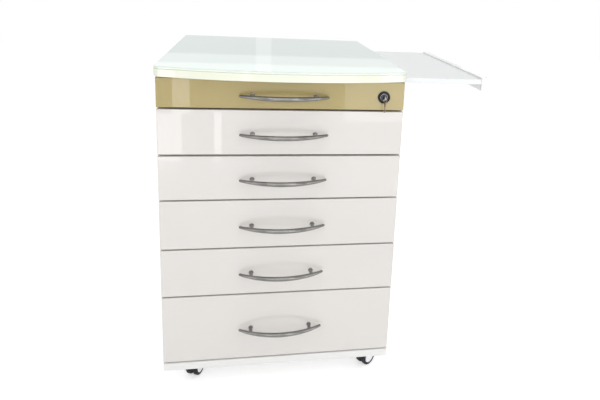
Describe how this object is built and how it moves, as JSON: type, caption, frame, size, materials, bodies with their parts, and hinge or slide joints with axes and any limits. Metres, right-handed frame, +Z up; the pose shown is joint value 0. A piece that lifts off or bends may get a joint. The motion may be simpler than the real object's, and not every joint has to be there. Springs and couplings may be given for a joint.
{
  "type": "dental cabinet",
  "caption": "Mobile drawer cabinet for a dental room, with a bow-fronted glass worktop, bow handles, a lock, a pull-out side tray and swivel casters.",
  "frame": {"origin": "on the floor, under the middle of the carcass", "axes": "+Z up; the drawer fronts face -Y; the side tray slides out towards +X"},
  "size_m": [0.7255, 0.6619, 0.723],
  "materials": {
    "box_board": "white melamine-faced drawer board",
    "caster_black": "black nylon",
    "caster_chrome": "chromed housing",
    "cream_edging": "polished edging band",
    "gold_lacquer": "gloss metallic lacquer on board",
    "guide_aluminium": "clear anodised",
    "handle_nickel": "satin nickel plate",
    "key_brass": "aged brass key",
    "key_steel": "nickel-plated key",
    "lock_black": "black bezel",
    "lock_chrome": "polished chrome",
    "pale_glass": "back-painted glass",
    "runner_steel": "zinc-plated steel",
    "white_board": "white melamine-faced board",
    "white_lacquer": "gloss lacquer on board"
  },
  "bodies": {
    "root": {"back_panel": "white_board", "bottom_board": "white_board", "side_panel_left": "white_board", "side_panel_right": "white_board", "front_rail": "white_board", "worktop_board": "white_board", "worktop_edging": "cream_edging", "worktop_glass": "pale_glass", "runner_cabinet_members": "runner_steel", "tray_guides": "guide_aluminium", "lock_striker": "runner_steel", "caster_plates": "caster_chrome"},
    "drawer_1": {"drawer_1_front": "gold_lacquer", "drawer_1_box": "box_board", "drawer_1_handle": "handle_nickel", "drawer_1_runner_inner": "runner_steel", "lock_body": "lock_black"},
    "drawer_1_runner": {"drawer_1_runner_middle": "runner_steel"},
    "drawer_2": {"drawer_2_front": "white_lacquer", "drawer_2_box": "box_board", "drawer_2_handle": "handle_nickel", "drawer_2_runner_inner": "runner_steel"},
    "drawer_2_runner": {"drawer_2_runner_middle": "runner_steel"},
    "drawer_3": {"drawer_3_front": "white_lacquer", "drawer_3_box": "box_board", "drawer_3_handle": "handle_nickel", "drawer_3_runner_inner": "runner_steel"},
    "drawer_3_runner": {"drawer_3_runner_middle": "runner_steel"},
    "drawer_4": {"drawer_4_front": "white_lacquer", "drawer_4_box": "box_board", "drawer_4_handle": "handle_nickel", "drawer_4_runner_inner": "runner_steel"},
    "drawer_4_runner": {"drawer_4_runner_middle": "runner_steel"},
    "drawer_5": {"drawer_5_front": "white_lacquer", "drawer_5_box": "box_board", "drawer_5_handle": "handle_nickel", "drawer_5_runner_inner": "runner_steel"},
    "drawer_5_runner": {"drawer_5_runner_middle": "runner_steel"},
    "drawer_6": {"drawer_6_front": "white_lacquer", "drawer_6_box": "box_board", "drawer_6_handle": "handle_nickel", "drawer_6_runner_inner": "runner_steel"},
    "drawer_6_runner": {"drawer_6_runner_middle": "runner_steel"},
    "tray": {"tray_board": "white_board", "tray_fascia": "white_lacquer", "tray_stop": "guide_aluminium"},
    "lock_plug": {"lock_plug": "lock_chrome", "lock_cam": "lock_chrome"},
    "key": {"key": "key_steel"},
    "key_ring": {"key_ring": "key_steel"},
    "spare_key": {"spare_key": "key_brass"},
    "caster_front_left_swivel": {"caster_front_left_hood": "caster_chrome"},
    "caster_front_left_wheel": {"caster_front_left_wheels": "caster_black"},
    "caster_front_right_swivel": {"caster_front_right_hood": "caster_chrome"},
    "caster_front_right_wheel": {"caster_front_right_wheels": "caster_black"},
    "caster_back_left_swivel": {"caster_back_left_hood": "caster_chrome"},
    "caster_back_left_wheel": {"caster_back_left_wheels": "caster_black"},
    "caster_back_right_swivel": {"caster_back_right_hood": "caster_chrome"},
    "caster_back_right_wheel": {"caster_back_right_wheels": "caster_black"}
  },
  "joints": [
    {"name": "drawer_1_slide", "type": "slide", "parent": "root", "child": "drawer_1", "axis": [0, -1, 0], "range_m": [0, 0.42]},
    {"name": "drawer_1_runner_slide", "type": "slide", "parent": "root", "child": "drawer_1_runner", "axis": [0, -1, 0], "range_m": [0, 0.21]},
    {"name": "drawer_2_slide", "type": "slide", "parent": "root", "child": "drawer_2", "axis": [0, -1, 0], "range_m": [0, 0.42]},
    {"name": "drawer_2_runner_slide", "type": "slide", "parent": "root", "child": "drawer_2_runner", "axis": [0, -1, 0], "range_m": [0, 0.21]},
    {"name": "drawer_3_slide", "type": "slide", "parent": "root", "child": "drawer_3", "axis": [0, -1, 0], "range_m": [0, 0.42]},
    {"name": "drawer_3_runner_slide", "type": "slide", "parent": "root", "child": "drawer_3_runner", "axis": [0, -1, 0], "range_m": [0, 0.21]},
    {"name": "drawer_4_slide", "type": "slide", "parent": "root", "child": "drawer_4", "axis": [0, -1, 0], "range_m": [0, 0.42]},
    {"name": "drawer_4_runner_slide", "type": "slide", "parent": "root", "child": "drawer_4_runner", "axis": [0, -1, 0], "range_m": [0, 0.21]},
    {"name": "drawer_5_slide", "type": "slide", "parent": "root", "child": "drawer_5", "axis": [0, -1, 0], "range_m": [0, 0.42]},
    {"name": "drawer_5_runner_slide", "type": "slide", "parent": "root", "child": "drawer_5_runner", "axis": [0, -1, 0], "range_m": [0, 0.21]},
    {"name": "drawer_6_slide", "type": "slide", "parent": "root", "child": "drawer_6", "axis": [0, -1, 0], "range_m": [0, 0.42]},
    {"name": "drawer_6_runner_slide", "type": "slide", "parent": "root", "child": "drawer_6_runner", "axis": [0, -1, 0], "range_m": [0, 0.21]},
    {"name": "tray_slide", "type": "slide", "parent": "root", "child": "tray", "axis": [1, 0, 0], "range_m": [-0.205, 0]},
    {"name": "lock_turn", "type": "hinge", "parent": "drawer_1", "child": "lock_plug", "pos_m": [0.206, -0.3, 0.669], "axis": [0, 1, 0], "range_deg": [0, 90]},
    {"name": "key_pull", "type": "slide", "parent": "lock_plug", "child": "key", "axis": [0, -1, 0], "range_m": [0, 0.013]},
    {"name": "key_ring_swing", "type": "hinge", "parent": "key", "child": "key_ring", "pos_m": [0.206, -0.314, 0.669], "axis": [1, 0, 0], "range_deg": [-45, 10]},
    {"name": "spare_key_swing", "type": "hinge", "parent": "key_ring", "child": "spare_key", "pos_m": [0.206, -0.314, 0.6602], "axis": [1, 0, 0], "range_deg": [-45, 10]},
    {"name": "caster_front_left_turn", "type": "hinge", "parent": "root", "child": "caster_front_left_swivel", "pos_m": [-0.196, -0.26, 0.045], "axis": [0, 0, 1], "continuous": true},
    {"name": "caster_front_left_roll", "type": "hinge", "parent": "caster_front_left_swivel", "child": "caster_front_left_wheel", "pos_m": [-0.18827, -0.24264, 0.02], "axis": [-0.9135, 0.4067, 0], "continuous": true},
    {"name": "caster_front_right_turn", "type": "hinge", "parent": "root", "child": "caster_front_right_swivel", "pos_m": [0.196, -0.26, 0.045], "axis": [0, 0, 1], "continuous": true},
    {"name": "caster_front_right_roll", "type": "hinge", "parent": "caster_front_right_swivel", "child": "caster_front_right_wheel", "pos_m": [0.21097, -0.2483, 0.02], "axis": [-0.6157, 0.788, 0], "continuous": true},
    {"name": "caster_back_left_turn", "type": "hinge", "parent": "root", "child": "caster_back_left_swivel", "pos_m": [-0.196, 0.24, 0.045], "axis": [0, 0, 1], "continuous": true},
    {"name": "caster_back_left_roll", "type": "hinge", "parent": "caster_back_left_swivel", "child": "caster_back_left_wheel", "pos_m": [-0.17815, 0.2465, 0.02], "axis": [-0.342, 0.9397, 0], "continuous": true},
    {"name": "caster_back_right_turn", "type": "hinge", "parent": "root", "child": "caster_back_right_swivel", "pos_m": [0.196, 0.24, 0.045], "axis": [0, 0, 1], "continuous": true},
    {"name": "caster_back_right_roll", "type": "hinge", "parent": "caster_back_right_swivel", "child": "caster_back_right_wheel", "pos_m": [0.17955, 0.2495, 0.02], "axis": [-0.5, -0.866, 0], "continuous": true}
  ],
  "couplings": [
    {"joint": "drawer_1_runner_slide", "follows": "drawer_1_slide", "ratio": 0.5},
    {"joint": "drawer_2_runner_slide", "follows": "drawer_2_slide", "ratio": 0.5},
    {"joint": "drawer_3_runner_slide", "follows": "drawer_3_slide", "ratio": 0.5},
    {"joint": "drawer_4_runner_slide", "follows": "drawer_4_slide", "ratio": 0.5},
    {"joint": "drawer_5_runner_slide", "follows": "drawer_5_slide", "ratio": 0.5},
    {"joint": "drawer_6_runner_slide", "follows": "drawer_6_slide", "ratio": 0.5}
  ]
}
